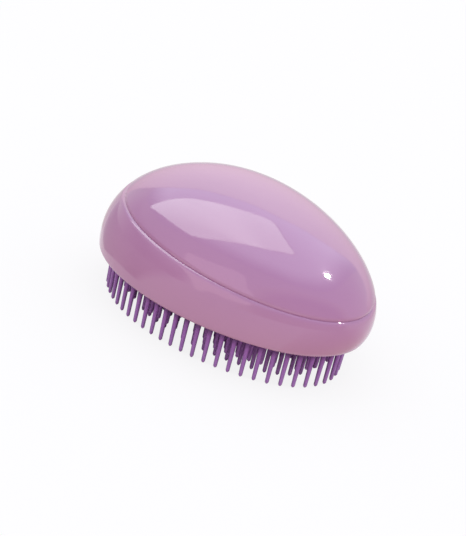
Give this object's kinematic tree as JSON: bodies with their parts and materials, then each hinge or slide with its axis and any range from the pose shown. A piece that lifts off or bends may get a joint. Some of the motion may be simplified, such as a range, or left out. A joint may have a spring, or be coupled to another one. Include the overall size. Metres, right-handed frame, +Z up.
{
  "type": "egg-shaped detangling hair comb",
  "caption": "Palm-held egg-shaped hair comb: a glossy domed cover snaps onto a lower shell, and a clamped pad carries long and short bristles below it.",
  "frame": {"origin": "centre of the outline seen from above, on the plane of the long bristles' tips", "axes": "+X towards the egg's pointed end, +Z up through the dome, away from the bristles"},
  "size_m": [0.1048, 0.078, 0.0469],
  "materials": {
    "shell_plastic": "glossy lilac moulding",
    "bristle_plastic": "satin violet moulding",
    "inner_plastic": "plain moulded plastic",
    "screw_steel": "zinc plated"
  },
  "bodies": {
    "root": {"top_cover": "shell_plastic", "lower_shell": "shell_plastic", "bristle_pad": "bristle_plastic", "pad_retainer": "inner_plastic", "screw_1": "screw_steel", "screw_2": "screw_steel", "screw_3": "screw_steel", "screw_4": "screw_steel"}
  },
  "joints": []
}
